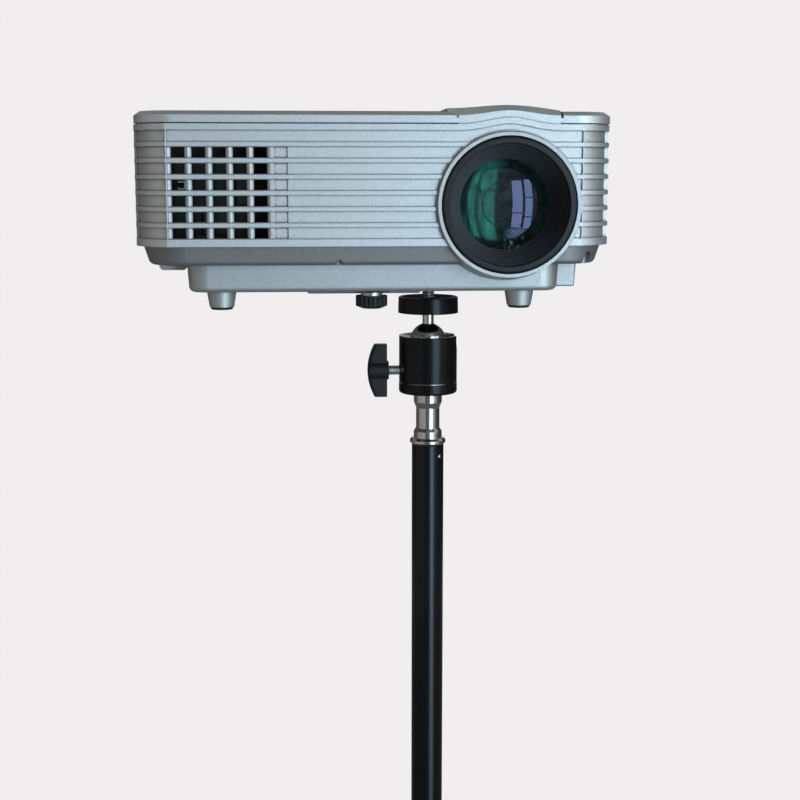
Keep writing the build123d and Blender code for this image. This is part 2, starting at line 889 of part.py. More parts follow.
def clamp_knob():
    """The wing knob: a flat wing with a bowed outer edge on a round hub."""
    inner = -housing_radius - clamp_screw_gap
    level = ball_level - clamp_drop
    top, bottom = level + knob_height / 2, level - knob_height / 2
    tip, root = inner - knob_tip_width, inner - knob_hub_step
    edges = [
        ThreePointArc((tip, 0, top), (inner - knob_width, 0, level), (tip, 0, bottom)),
        Line((tip, 0, bottom), (root, 0, bottom)),
        Line((root, 0, bottom), (root, 0, top)),
        Line((root, 0, top), (tip, 0, top)),
    ]
    wing = extrude(make_face(edges), amount=knob_thickness / 2, dir=(0, 1, 0), both=True)
    wing = fillet(wing.edges().filter_by(GeomType.CIRCLE), knob_round)
    hub = Cylinder(knob_hub_radius, knob_hub_length)
    knob = wing + clamp_axis() * Pos(0, 0, -inner + knob_hub_length / 2) * hub
    bore = Cylinder(clamp_screw_radius + seat_gap, 2 * knob_hub_radius + 2 * seat_gap)
    return knob - clamp_axis() * Pos(0, 0, -inner) * bore


def pan_washer():
    return upright(washer_radius, washer_height, housing_bottom - washer_height)


def pan_base():
    base = upright(base_radius, base_height, base_bottom)
    base = fillet(base.edges().sort_by(Axis.Z)[0], base_round)
    return base - upright(screw_radius + seat_gap, base_bore_depth, base_bottom)


# Pole
def spigot():
    collar, waist, flange = spigot_collar_radius, spigot_waist_radius, spigot_flange_radius
    plug = top_tube_radius - tube_wall - seat_gap
    bead = spigot_flange_height / 3
    lower = spigot_flange_height + spigot_lower_height
    waist_top = lower + spigot_waist_height
    cone_top = waist_top + spigot_cone_height
    thread_top = spigot_height + spigot_thread_length
    points = [
        (0, -spigot_plug_length), (plug, -spigot_plug_length), (plug, 0),
        (flange - bead, 0), (flange, bead), (flange, 2 * bead), (flange - bead, spigot_flange_height),
        (collar, spigot_flange_height), (collar, lower - spigot_chamfer_height), (waist, lower),
        (waist, waist_top), (collar, cone_top), (collar, spigot_height),
        (screw_radius, spigot_height), (screw_radius, thread_top), (0, thread_top),
    ]
    return Pos(0, 0, tube_top) * turned(points)


def top_tube():
    length = top_tube_exposed + top_tube_inserted
    tube = upright(top_tube_radius, length, tube_top - length)
    return tube - upright(top_tube_radius - tube_wall, length, tube_top - length)


def slide_bush():
    """The nylon bush on the inner tube's foot, which runs in the lower tube."""
    low = clamp_top - top_tube_inserted
    length = 2 * lower_tube_radius
    radius = lower_tube_radius - tube_wall - running_gap
    bush = upright(radius, length, low - 2 * tube_wall)
    return bush - upright(top_tube_radius + seat_gap, length, low)


def lower_tube():
    tube = upright(lower_tube_radius, lower_tube_length, lower_tube_lift)
    return tube - upright(lower_tube_radius - tube_wall, lower_tube_length, lower_tube_lift)


def tube_clamp():
    """The moulded collar over the lower tube's end that grips the inner tube."""
    low = clamp_top - clamp_height
    outer = lower_tube_radius + clamp_wall
    neck = top_tube_radius + clamp_wall
    shoulder = low + clamp_overlap + clamp_wall
    bore = top_tube_radius + running_gap
    seat = lower_tube_radius + seat_gap
    edge = clamp_edge
    stop = low + clamp_overlap
    collar = turned(
        [(seat, low), (outer - edge, low), (outer, low + edge), (outer, shoulder),
         (neck, shoulder + clamp_wall), (neck, clamp_top - edge), (neck - edge, clamp_top),
         (bore + edge, clamp_top), (bore, clamp_top - edge), (bore, stop), (seat, stop)]
    )
    place = radial(0, clamp_knob_level())
    return collar + place * boss(outer) - place * bore_hole()


def clamp_knob_level():
    return clamp_top - clamp_height + clamp_overlap


def radial(bearing, level):
    """A frame whose Z runs outwards from the pole at a bearing."""
    return Rot(0, 0, bearing) * Pos(0, 0, level) * Rot(0, 90, 0)


def boss(outer):
    """The round boss on a collar that takes a knob's screw."""
    length = clamp_wall + boss_rise
    return Pos(0, 0, outer - clamp_wall / 2 + length / 2) * Cylinder(boss_radius, length)


def bore_hole():
    depth = 4 * clamp_wall
    return Pos(0, 0, lower_tube_radius + seat_gap + depth / 2) * Cylinder(star_knob_stem + seat_gap, depth)


def star_knob(outer):
    """A lobed hand knob with its screw, standing on a collar's boss."""
    start = outer + clamp_wall / 2 + boss_rise + star_knob_reach - star_knob_thickness / 2
    head = Pos(0, 0, start + star_knob_thickness / 2) * Cylinder(star_knob_radius, star_knob_thickness)
    head = chamfer(head.edges().filter_by(GeomType.CIRCLE), star_knob_edge)
    scallop = Cylinder(star_knob_scallop, 2 * star_knob_thickness)
    turn = 360 / star_knob_lobes
    valley = Pos(star_knob_radius + star_knob_edge, 0, start)
    head -= Part() + [Rot(0, 0, (i + 0.5) * turn) * valley * scallop for i in range(star_knob_lobes)]
    inner = lower_tube_radius + 2 * seat_gap
    end = start + star_knob_edge
    return head + Pos(0, 0, (inner + end) / 2) * Cylinder(star_knob_stem, end - inner)


# Tripod base
leg_angle = degrees(atan2(leg_hub_height - leg_tip_lift, leg_spread - leg_pivot_radius))
leg_length = hypot(leg_hub_height - leg_tip_lift, leg_spread - leg_pivot_radius)
leg_frame = Pos(leg_pivot_radius, 0, leg_hub_height) * Rot(0, 90 + leg_angle, 0)
brace_hub_level = lower_tube_lift - hub_wall + brace_hub_length / 2
lug_reach = leg_radius + brace_width / 2 + lug_gap
brace_from = (brace_pivot_radius, brace_hub_level)
lug_place = leg_frame * Pos(lug_reach, 0, leg_length * brace_share)
brace_to = (lug_place.position.X, lug_place.position.Z)


def pin(length):
    return Rot(90, 0, 0) * Cylinder(pin_radius, length)


def eared_hub(level, length, pivot_radius):
    """A collar on the pole with one pierced ear for each leg or brace."""
    outer = lower_tube_radius + hub_wall
    ring = upright(outer, length, level - length / 2)
    ring = chamfer(ring.edges().filter_by(GeomType.CIRCLE), hub_edge)
    thick, wide = ear_thickness / 2, ear_width / 2
    ear = block(outer - hub_edge, pivot_radius, -thick, thick, -wide, wide)
    ear += Pos(pivot_radius, 0, 0) * Rot(90, 0, 0) * Cylinder(ear_width / 2, ear_thickness)
    ear -= Pos(pivot_radius, 0, 0) * Rot(90, 0, 0) * Cylinder(pin_radius + seat_gap, 2 * ear_thickness)
    for bearing in leg_bearings():
        ring += Rot(0, 0, bearing) * Pos(0, 0, level) * ear
    return ring - upright(lower_tube_radius + seat_gap, 2 * length, level - length)


def leg_hub():
    """The sliding hub of the legs, with the boss of its locking knob at the rear."""
    hub = eared_hub(leg_hub_height, leg_hub_length, leg_pivot_radius)
    place = radial(90, leg_hub_height)
    hub += place * boss(lower_tube_radius + hub_wall)
    low = leg_hub_height - leg_hub_length / 2
    return hub - upright(lower_tube_radius + seat_gap, leg_hub_length, low) - place * bore_hole()


def brace_hub():
    """The fixed hub at the pole's foot, closed under the lower tube."""
    hub = eared_hub(brace_hub_level, brace_hub_length, brace_pivot_radius)
    low = brace_hub_level - brace_hub_length / 2
    return hub + upright(lower_tube_radius + hub_wall / 2, lower_tube_lift - low, low)


def leg_bearings():
    return [leg_first_bearing + i * 360 / leg_count for i in range(leg_count)]


def leg():
    """A tube leg: a fork and pin at the hub, a pierced lug for its brace."""
    fork_length = ear_width / 2 + pin_radius + fork_cheek
    cheek = fork_cheek
    fork_half = ear_thickness / 2 + seat_gap + cheek
    fork = block(-leg_radius, leg_radius, -fork_half, fork_half, -leg_radius, fork_length + 2 * cheek)
    fork -= block(
        -2 * leg_radius, 2 * leg_radius, -ear_thickness / 2 - seat_gap, ear_thickness / 2 + seat_gap,
        -2 * leg_radius, fork_length,
    )
    tube_start = fork_length + cheek
    tube_end = leg_length - leg_end_gap
    tube = upright(leg_radius, tube_end - tube_start, tube_start)
    body = fork + tube
    body -= upright(leg_radius - leg_wall, tube_end - tube_start, fork_length + 3 * cheek)
    lug_at = leg_length * brace_share
    thick, wide = ear_thickness / 2, ear_width / 2
    lug = block(0, lug_reach, -thick, thick, lug_at - wide, lug_at + wide)
    lug += Pos(lug_reach, 0, lug_at) * Rot(90, 0, 0) * Cylinder(ear_width / 2, ear_thickness)
    lug -= upright(leg_radius - leg_wall / 2, 2 * ear_width, lug_at - ear_width)
    lug -= Pos(lug_reach, 0, lug_at) * Rot(90, 0, 0) * Cylinder(pin_radius + seat_gap, 2 * ear_thickness)
    return leg_frame * (body + lug + pin(2 * fork_half))


def leg_tip():
    """The rubber tip, cut flat where it stands on the floor."""
    tip = upright(leg_tip_radius, leg_tip_length, leg_length - leg_tip_length)
    tip += Pos(0, 0, leg_length) * Sphere(leg_tip_radius)
    bore_depth = leg_tip_length - leg_end_gap + seat_gap
    tip -= upright(leg_radius + seat_gap, bore_depth, leg_length - leg_tip_length)
    reach = leg_spread + 4 * leg_tip_radius
    return leg_frame * tip - block(-reach, reach, -reach, reach, -reach, 0)


def brace():
    """Two flat bars with a rivet at each end, from the lower hub to a leg's lug."""
    rise, run = brace_to[1] - brace_from[1], brace_to[0] - brace_from[0]
    length = hypot(rise, run)
    inner = ear_thickness / 2 + seat_gap
    bar = extrude(Plane.XZ * SlotCenterToCenter(length, brace_width), brace_thickness / 2, both=True)
    pair = [Pos(0, side * (inner + brace_thickness / 2), 0) * bar for side in (-1, 1)]
    rivet_length = 2 * (inner + brace_thickness)
    rivets = [Pos(side * length / 2, 0, 0) * pin(rivet_length) for side in (-1, 1)]
    middle = Pos((brace_from[0] + brace_to[0]) / 2, 0, (brace_from[1] + brace_to[1]) / 2)
    return middle * Rot(0, -degrees(atan2(rise, run)), 0) * (Part() + pair + rivets)


left_side_wall, right_side_wall = side_walls()
clamp_outer = lower_tube_radius + clamp_wall
hub_outer = lower_tube_radius + hub_wall
parts = {
    "front_panel": front_panel(),
    "left_side_wall": left_side_wall,
    "right_side_wall": right_side_wall,
    "rear_panel": rear_panel(),
    "power_inlet": power_inlet(),
    "port_strip": port_strip(),
    "top_cover": top_cover(),
    "lens_hood_panel": lens_hood_panel(),
    "control_keys": Part() + [control_key(x, y) for x, y in key_places()],
    "bottom_shell": bottom_shell(),
    "bottom_tray": bottom_tray(),
    "tripod_socket": tripod_socket(),
    "side_duct": side_duct(),
    "side_rail": side_rail(),
    "underside_pad": underside_pad(),
    "projector_feet": Part() + [projector_foot(x, y) for x, y in foot_places()],
    "foot_pads": Part() + [foot_pad(x, y) for x, y in foot_places()],
    "levelling_flange": levelling_flange(),
    "levelling_screw": levelling_screw(),
    "levelling_wheel": levelling_wheel(),
    "lens_collar": lens_collar(),
    "focus_ring": focus_ring(),
    "front_lens": front_lens(),
    "driver_board": driver_board(),
    "head_plate": head_plate(),
    "plate_pad": plate_pad(),
    "camera_screw": camera_screw(),
    "ball": ball_joint(),
    "ball_stem": ball_stem(),
    "ball_housing": ball_housing(),
    "clamp_screw": clamp_screw(),
    "clamp_knob": clamp_knob(),
    "pan_washer": pan_washer(),
    "pan_base": pan_base(),
    "spigot": spigot(),
    "top_tube": top_tube(),
    "slide_bush": slide_bush(),
    "lower_tube": lower_tube(),
    "tube_clamp": tube_clamp(),
    "tube_clamp_knob": radial(0, clamp_knob_level()) * star_knob(clamp_outer),
    "leg_hub": leg_hub(),
    "leg_hub_knob": radial(90, leg_hub_height) * star_knob(hub_outer),
    "brace_hub": brace_hub(),
}
for number, bearing in enumerate(leg_bearings(), start=1):
    parts[f"leg_{number}"] = Rot(0, 0, bearing) * leg()
    parts[f"brace_{number}"] = Rot(0, 0, bearing) * brace()
    parts[f"leg_tip_{number}"] = Rot(0, 0, bearing) * leg_tip()

os.makedirs("parts", exist_ok=True)
for name, solid in parts.items():
    export_step(solid, f"parts/{name}.step")
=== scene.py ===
import bpy
import math
from mathutils import Matrix, Vector


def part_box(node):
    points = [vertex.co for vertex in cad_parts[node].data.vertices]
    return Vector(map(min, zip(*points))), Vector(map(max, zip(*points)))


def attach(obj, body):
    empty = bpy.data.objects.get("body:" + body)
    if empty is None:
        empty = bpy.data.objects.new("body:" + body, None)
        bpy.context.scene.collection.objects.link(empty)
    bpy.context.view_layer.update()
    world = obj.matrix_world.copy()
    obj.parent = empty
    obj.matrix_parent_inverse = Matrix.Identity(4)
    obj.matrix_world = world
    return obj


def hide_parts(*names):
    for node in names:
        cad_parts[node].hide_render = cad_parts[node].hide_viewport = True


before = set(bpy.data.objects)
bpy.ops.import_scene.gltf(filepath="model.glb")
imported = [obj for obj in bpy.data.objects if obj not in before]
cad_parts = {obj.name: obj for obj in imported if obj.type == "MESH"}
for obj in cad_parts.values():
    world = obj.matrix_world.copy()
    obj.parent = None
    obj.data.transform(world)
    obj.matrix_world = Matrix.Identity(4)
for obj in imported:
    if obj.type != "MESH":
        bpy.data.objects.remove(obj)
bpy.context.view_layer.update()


# Pole tubes, legs and braces
# The stand's tubes are drawn aluminium with a satin black coat, the braces flat steel bars in the same black.
# The coat shows faint lines along the tube from drawing, dulled patches from hands and a little dust.
class Tone:
    """A socket in a node tree, so that shader sums are written as plain sums."""

    def __init__(self, tree, socket=None):
        self.tree = tree
        self.socket = socket

    def node(self, kind, settings, sockets, give=0):
        """Adds a node: its settings first, then the values or links of its sockets."""
        made = self.tree.nodes.new("ShaderNode" + kind)
        for name, value in settings.items():
            if name == "stops":
                while len(made.color_ramp.elements) < len(value):
                    made.color_ramp.elements.new(0.5)
                for element, (place, colour) in zip(made.color_ramp.elements, value):
                    element.position = place
                    element.color = colour
            else:
                setattr(made, name, value)
        for name, value in sockets.items():
            if isinstance(value, Tone):
                self.tree.links.new(value.socket, made.inputs[name])
            else:
                made.inputs[name].default_value = value
        return Tone(self.tree, made.outputs[give] if made.outputs else None)

    def sum(self, operation, first, second):
        return self.node("Math", {"operation": operation}, {0: first, 1: second})

    def __add__(self, other):
        return self.sum("ADD", self, other)

    def __radd__(self, other):
        return self.sum("ADD", other, self)

    def __sub__(self, other):
        return self.sum("SUBTRACT", self, other)

    def __rsub__(self, other):
        return self.sum("SUBTRACT", other, self)

    def __mul__(self, other):
        return self.sum("MULTIPLY", self, other)

    def __rmul__(self, other):
        return self.sum("MULTIPLY", other, self)

    def __gt__(self, other):
        return self.sum("GREATER_THAN", self, other)


def blended(share, first, second):
    """A colour between two colours."""
    return share.node("Mix", {"data_type": "RGBA"}, {0: share, 6: first, 7: second}, give=2)


def place_on(start):
    """Where a point is on the piece, in metres."""
    return start.node("TexCoord", {}, {}, give="Object")


def stretched(place, x, y, z):
    """A place with its coordinates scaled: a small factor draws a pattern out that way."""
    return place.node("Mapping", {}, {"Vector": place, "Scale": (x, y, z)})


def cloudy(place, scale, detail):
    """A soft noise between nothing and one."""
    return place.node("TexNoise", {}, {"Vector": place, "Scale": scale, "Detail": detail})


def bumped(height, strength, depth, edges=None):
    """The normal of a surface roughened by a height, over eased edges where they are given."""
    sockets = {"Height": height, "Strength": strength, "Distance": depth}
    if edges is not None:
        sockets["Normal"] = edges
    return height.node("Bump", {}, sockets)


def eased(start, radius):
    """The normal with edges rounded over by a small radius."""
    return start.node("Bevel", {"samples": 6}, {"Radius": radius}, give="Normal")


def material(name, fixed, varied):
    """A material from the shader's fixed values and the tones that change over the surface."""
    made = bpy.data.materials.new(name)
    made.use_nodes = True
    shader = made.node_tree.nodes["Principled BSDF"]
    for socket, value in fixed.items():
        shader.inputs[socket].default_value = value
    for socket, tone in varied(Tone(made.node_tree)).items():
        made.node_tree.links.new(tone.socket, shader.inputs[socket])
    return made


def dress(finish, *names):
    """Gives CAD nodes their material."""
    for name in names:
        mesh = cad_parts[name].data
        mesh.materials.clear()
        mesh.materials.append(finish)


def tube_coat(start):
    fresh_black = (0.0026, 0.0026, 0.0029, 1)
    handled_black = (0.0052, 0.0052, 0.0058, 1)
    dust_grey = (0.06, 0.058, 0.056, 1)
    place = place_on(start)
    drawn = cloudy(stretched(place, 1, 1, 0.02), scale=2600, detail=2)
    handled = cloudy(place, scale=17, detail=5)
    dust = cloudy(place, scale=1400, detail=1) > 0.71
    coat = blended(handled, fresh_black, handled_black)
    return {
        "Base Color": blended(dust * 0.12, coat, dust_grey),
        "Roughness": 0.17 + 0.08 * handled + 0.04 * drawn,
        "Normal": bumped(drawn, strength=0.10, depth=0.00003, edges=eased(start, 0.0003)),
    }


black_tube = material("black_tube_coat", {"Specular IOR Level": 0.26}, tube_coat)
legs = ["leg_1", "leg_2", "leg_3"]
braces = ["brace_1", "brace_2", "brace_3"]
dress(black_tube, "lower_tube", "top_tube", *legs, *braces)


# Rivets of the leg hub, lugs and brace hub
# Bright domed steel rivet heads close both ends of each hinge pin on the tripod base.
# Each is a low dome with a thin flat flange, peened over the bar or fork that it holds.
def turned(profile, count):
    """Points and faces of a profile of (radius, height) turned about Z; a zero radius closes it."""
    points, rings, faces = [], [], []
    for radius, height in profile:
        steps = count if radius > 1e-7 else 1
        rings.append([len(points) + i for i in range(steps)])
        for i in range(steps):
            angle = 2 * math.pi * i / count
            points.append(Vector((radius * math.cos(angle), radius * math.sin(angle), height)))
    for lower, upper in zip(rings, rings[1:]):
        for i in range(count):
            a, b = lower[i % len(lower)], lower[(i + 1) % len(lower)]
            c, d = upper[(i + 1) % len(upper)], upper[i % len(upper)]
            if len(lower) == 1:
                faces.append([a, c, d])
            elif len(upper) == 1:
                faces.append([a, b, c])
            else:
                faces.append([a, b, c, d])
    return points, faces


def piece(name, forms, finish, body, sharp=35):
    """One mesh object from (points, faces, matrix) forms, riding on a body."""
    points, faces = [], []
    for form_points, form_faces, matrix in forms:
        start = len(points)
        points += [matrix @ point for point in form_points]
        faces += [[start + i for i in face] for face in form_faces]
    mesh = bpy.data.meshes.new(name)
    mesh.from_pydata(points, [], faces)
    mesh.validate()
    mesh.shade_smooth()
    mesh.set_sharp_from_angle(angle=math.radians(sharp))
    mesh.materials.append(finish)
    made = bpy.data.objects.new(name, mesh)
    bpy.context.scene.collection.objects.link(made)
    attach(made, body)
    return made


def along(point, direction):
    """A matrix that puts a turned form at a point with its Z along a direction."""
    return Matrix.Translation(point) @ Vector(direction).to_track_quat("Z", "Y").to_matrix().to_4x4()


def bright_steel(start):
    dull_steel = (0.42, 0.41, 0.40, 1)
    clean_steel = (0.60, 0.595, 0.58, 1)
    place = place_on(start)
    worn = cloudy(place, scale=420, detail=4)
    return {
        "Base Color": blended(worn, dull_steel, clean_steel),
        "Roughness": 0.22 + 0.16 * worn,
        "Normal": bumped(cloudy(place, scale=2400, detail=2), strength=0.10, depth=0.00003),
    }


steel = material("bright_steel", {"Metallic": 1.0}, bright_steel)
rivet_profile = [
    (0.0, 0.0), (0.0036, 0.0), (0.0036, 0.0004), (0.0033, 0.0006),
    (0.0028, 0.0011), (0.0018, 0.0016), (0.0009, 0.0018), (0.0, 0.00185),
]
rivet = turned(rivet_profile, 24)
leg_bearings = (-90, 30, 150)
# Each hinge pin: its reach from the pole's axis, its level and half its length
hub_pin = (0.025, 0.300, 0.00555)
lug_pin = (0.1297, 0.1565, 0.00455)
brace_pin = (0.022, 0.057, 0.00455)
rivet_forms = []
for bearing in leg_bearings:
    leg_way = Vector((math.cos(math.radians(bearing)), math.sin(math.radians(bearing)), 0))
    across = Vector((-leg_way.y, leg_way.x, 0))
    for reach, level, half in (hub_pin, lug_pin, brace_pin):
        for side in (-1, 1):
            seat = leg_way * reach + across * side * half + Vector((0, 0, level))
            rivet_forms.append((*rivet, along(seat, across * side)))
piece("tripod_rivets", rivet_forms, steel, "stand")


# Hubs, tube clamp and hand knobs
# The leg hub, brace hub, tube clamp and star knobs are moulded in black glass-filled nylon.
# The mould leaves a fine leathery grain, a touch of shine on high spots and softened edges.
def moulded_black(start):
    deep_black = (0.0055, 0.0055, 0.0060, 1)
    faded_black = (0.0115, 0.0115, 0.0122, 1)
    place = place_on(start)
    grain = cloudy(place, scale=1900, detail=3)
    patch = cloudy(place, scale=60, detail=4)
    return {
        "Base Color": blended(patch, deep_black, faded_black),
        "Roughness": 0.38 + 0.16 * grain + 0.06 * patch,
        "Normal": bumped(grain, strength=0.20, depth=0.00006, edges=eased(start, 0.0004)),
    }


black_moulding = material("black_moulding", {"Specular IOR Level": 0.28}, moulded_black)
dress(black_moulding, "leg_hub", "brace_hub", "tube_clamp", "tube_clamp_knob", "leg_hub_knob", "slide_bush")


# Rubber tips and pads
# Soft matt black rubber caps pushed over the leg ends, greyed by dust towards their flat worn feet.
# The pads under the projector's feet and on the ball head's plate are cut from the same rubber and glued on.
def ramped(value, low, high, at_low, at_high, way="LINEAR"):
    """A tone that goes from one level to another while a value goes from low to high."""
    sockets = {"Value": value, 1: low, 2: high, 3: at_low, 4: at_high}
    return value.node("MapRange", {"interpolation_type": way}, sockets)


def reading(place, axis):
    """One coordinate of a place, in metres."""
    return place.node("SeparateXYZ", {}, {"Vector": place}, give=axis)


def tip_rubber(start):
    clean_black = (0.016, 0.016, 0.016, 1)
    floor_dust = (0.085, 0.08, 0.074, 1)
    place = place_on(start)
    near_floor = ramped(reading(place, "Z"), low=0.0, high=0.018, at_low=1.0, at_high=0.0)
    grain = cloudy(place, scale=1500, detail=3)
    speck = cloudy(place, scale=260, detail=5)
    return {
        "Base Color": blended(near_floor * speck * 0.7, clean_black, floor_dust),
        "Roughness": 0.72 + 0.16 * grain,
        "Normal": bumped(grain, strength=0.22, depth=0.00006),
    }


rubber = material("black_rubber", {"Specular IOR Level": 0.25}, tip_rubber)
dress(rubber, "leg_tip_1", "leg_tip_2", "leg_tip_3", "foot_pads", "plate_pad")


# Spigot at the pole's top
# A turned and chromed spigot plugs the tube, with a bead flange, a waist and a collar below the ball head.
# Turning leaves fine rings round it and the plating a few cloudy spots. The ball and its stem are alike.
def turned_chrome(start):
    cloudy_chrome = (0.50, 0.495, 0.49, 1)
    clear_chrome = (0.66, 0.655, 0.65, 1)
    place = place_on(start)
    rings = cloudy(stretched(place, 0.02, 0.02, 1), scale=3800, detail=2)
    spots = cloudy(place, scale=95, detail=4)
    return {
        "Base Color": blended(spots, cloudy_chrome, clear_chrome),
        "Roughness": 0.09 + 0.08 * rings + 0.06 * spots,
        "Normal": bumped(rings, strength=0.18, depth=0.00004, edges=eased(start, 0.0002)),
    }


chrome = material("turned_chrome", {"Metallic": 1.0}, turned_chrome)
dress(chrome, "spigot", "ball", "ball_stem")


# Pin in the tube
# A small bright steel pin, pressed through the tube's wall, keeps the spigot from turning.
# Only its low domed end shows, as a dot in front.
tube_radius, pin_level = 0.008, 0.8404
pin_way = Vector((0.0056, -0.0057, 0)).normalized()
pin_profile = [(0.0, -0.0006), (0.00095, -0.0006), (0.00095, 0.0), (0.0007, 0.0002), (0.0, 0.00025)]
pin_seat = along(pin_way * tube_radius + Vector((0, 0, pin_level)), pin_way)
piece("spigot_pin", [(*turned(pin_profile, 20), pin_seat)], steel, "pole")


# Ball head: base ring, housing and plate
# The ball head is turned aluminium, black anodised, with fine lathe rings round it.
# The washer under the housing and the threaded bush in the tray are bare bright steel.
def anodised(start):
    deep_black = (0.0026, 0.0026, 0.0028, 1)
    rubbed_black = (0.0060, 0.0060, 0.0064, 1)
    place = place_on(start)
    lathe = cloudy(stretched(place, 0.015, 0.015, 1), scale=3000, detail=2)
    patch = cloudy(place, scale=75, detail=4)
    return {
        "Base Color": blended(patch, deep_black, rubbed_black),
        "Roughness": 0.19 + 0.07 * lathe + 0.06 * patch,
        "Normal": bumped(lathe, strength=0.14, depth=0.00003, edges=eased(start, 0.00035)),
    }


black_anodised = material("black_anodised", {"Specular IOR Level": 0.18}, anodised)
dress(black_anodised, "pan_base", "ball_housing", "head_plate")
dress(steel, "pan_washer", "tripod_socket")


# Camera stud, clamp screw and wing knob
# Two steel screws in satin nickel: the quarter-inch stud between plate and tray, and the one that the moulded
# black wing knob turns. Each thread is a rolled sixty-degree vee that runs round the shank.
def threaded(radius, pitch, depth, low, high):
    """Points and faces of a rod along Z with a helical thread."""
    count, per_turn = 40, 8
    rows = max(2, round((high - low) / pitch * per_turn))
    points, faces = [], []
    for row in range(rows + 1):
        level = low + (high - low) * row / rows
        for i in range(count):
            phase = (level / pitch - i / count) % 1
            angle = 2 * math.pi * i / count
            reach = radius - depth * abs(2 * phase - 1)
            points.append(Vector((reach * math.cos(angle), reach * math.sin(angle), level)))
    for row in range(rows):
        for i in range(count):
            a, b = row * count + i, row * count + (i + 1) % count
            faces.append([a, b, b + count, a + count])
    faces.append(list(range(count))[::-1])
    faces.append([rows * count + i for i in range(count)])
    return points, faces


def satin_nickel(start):
    dull_nickel = (0.60, 0.585, 0.56, 1)
    clean_nickel = (0.76, 0.745, 0.72, 1)
    rubbed = cloudy(stretched(place_on(start), 1, 1, 6), scale=600, detail=3)
    return {
        "Base Color": blended(rubbed, dull_nickel, clean_nickel),
        "Roughness": 0.34 + 0.12 * rubbed,
    }


nickel = material("satin_nickel", {"Metallic": 1.0}, satin_nickel)
in_place = Matrix.Identity(4)
stud_low, stud_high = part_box("camera_screw")
stud = threaded(radius=0.003175, pitch=0.00127, depth=0.00055, low=stud_low.z, high=stud_high.z)
stud_piece = piece("camera_stud", [(*stud, in_place)], nickel, "projector")
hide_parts("camera_screw")
clamp_low, clamp_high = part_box("clamp_screw")
clamp_rod = threaded(radius=0.0025, pitch=0.0010, depth=0.00055, low=0.0, high=clamp_high.x - clamp_low.x)
clamp_seat = along(Vector((clamp_high.x, 0, (clamp_low.z + clamp_high.z) / 2)), (-1, 0, 0))
clamp_piece = piece("clamp_thread", [(*clamp_rod, clamp_seat)], nickel, "knob")
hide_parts("clamp_screw")
dress(black_moulding, "clamp_knob")


# Projector case
# The case is moulded plastic sprayed with silver paint: fine flakes that glint, a slight orange peel
# under a thin satin lacquer, and edges softened by the paint. Tray and collar are a shade darker; the chin's
# darker, warmer grey is painted shade.
def silver_paint(start, low=0.487, high=0.65, cool=1.003):
    """Silver paint between two greys, with painted shade at the bottom of grooves."""
    groove_shade_grey = (0.045, 0.043, 0.043, 1)
    place = place_on(start)
    flake = start.node("TexVoronoi", {}, {"Vector": place, "Scale": 2300.0}, give="Color")
    glint = start.node("SeparateColor", {}, {"Color": flake}, give=0)
    grain = cloudy(place, scale=1100, detail=2)
    peel = cloudy(place, scale=420, detail=2)
    haze = cloudy(place, scale=24, detail=4)
    speck = 0.55 * glint + 0.45 * grain
    sprayed = blended(speck, (low, low * cool, low * cool, 1), (high, high * cool, high * cool, 1))
    # Painted shade: where the occlusion node finds a groove closed in, the colour goes towards near black.
    open_share = start.node("AmbientOcclusion", {"samples": 4}, {"Distance": 0.0010}, give="AO")
    painted_groove_shade = ramped(open_share, low=0.45, high=0.85, at_low=0.85, at_high=0.0)
    relief = 0.5 * glint + 0.5 * peel
    return {
        "Base Color": blended(painted_groove_shade, sprayed, groove_shade_grey),
        "Roughness": 0.53 + 0.08 * haze - 0.06 * glint,
        "Normal": bumped(relief, strength=0.10, depth=0.00006, edges=eased(start, 0.00035)),
    }


def front_paint(start):
    """The silver paint, with painted shade on the walls of the grille's holes."""
    hole_shade_grey = (0.050, 0.050, 0.052, 1)
    bar_front, wall_front, grille_right = -0.0669, -0.0664, -0.0750
    tones = silver_paint(start)
    place = place_on(start)
    # Painted shade: the walls of the holes on the grille's left go dark grey, deeper towards their back.
    sunk = ramped(reading(place, "Y"), low=bar_front, high=wall_front, at_low=0.0, at_high=0.5)
    painted_hole_shade = sunk * (1 - (reading(place, "X") > grille_right))
    tones["Base Color"] = blended(painted_hole_shade, tones["Base Color"], hole_shade_grey)
    return tones


# Painted shade: the chin, which faces down at the dim floor, gets a darker and warmer copy of the silver
# paint.
def chin_shade_paint(start):
    return silver_paint(start, low=0.248, high=0.335, cool=0.95)


def tray_paint(start):
    return silver_paint(start, low=0.395, high=0.527)


lacquer = {"Metallic": 0.90, "Coat Weight": 0.12, "Coat Roughness": 0.28}
silver = material("silver_flake_paint", lacquer, silver_paint)
dress(silver, "left_side_wall", "right_side_wall", "rear_panel", "top_cover", "lens_hood_panel")
dress(material("silver_front_paint", lacquer, front_paint), "front_panel")
dress(material("dark_silver_paint", lacquer, chin_shade_paint), "bottom_shell")
tray = ["bottom_tray", "side_duct", "side_rail", "underside_pad", "projector_feet", "lens_collar"]
dress(material("tray_silver_paint", lacquer, tray_paint), *tray)


# Levelling foot and keys
# The levelling wheel is fluted black plastic on a nickelled screw, under a thin black flange in the tray.
# The push keys in the lid are moulded in the same black plastic.
dress(nickel, "levelling_screw")
dress(black_moulding, "levelling_flange", "levelling_wheel", "control_keys")


# Board behind the grille
# A dark circuit board stands behind the grille, with small black parts on it and a white two-row connector.
# Only the connector's pale rim catches light through the holes.
def board_lacquer(start):
    dark_lacquer = (0.0045, 0.0045, 0.005, 1)
    track_lacquer = (0.0085, 0.009, 0.0095, 1)
    tracks = cloudy(stretched(place_on(start), 1, 1, 0.15), scale=900, detail=1) > 0.55
    return {
        "Base Color": blended(tracks, dark_lacquer, track_lacquer),
        "Roughness": 0.45 + 0.12 * tracks,
        "Normal": bumped(tracks, strength=0.15, depth=0.00003),
    }


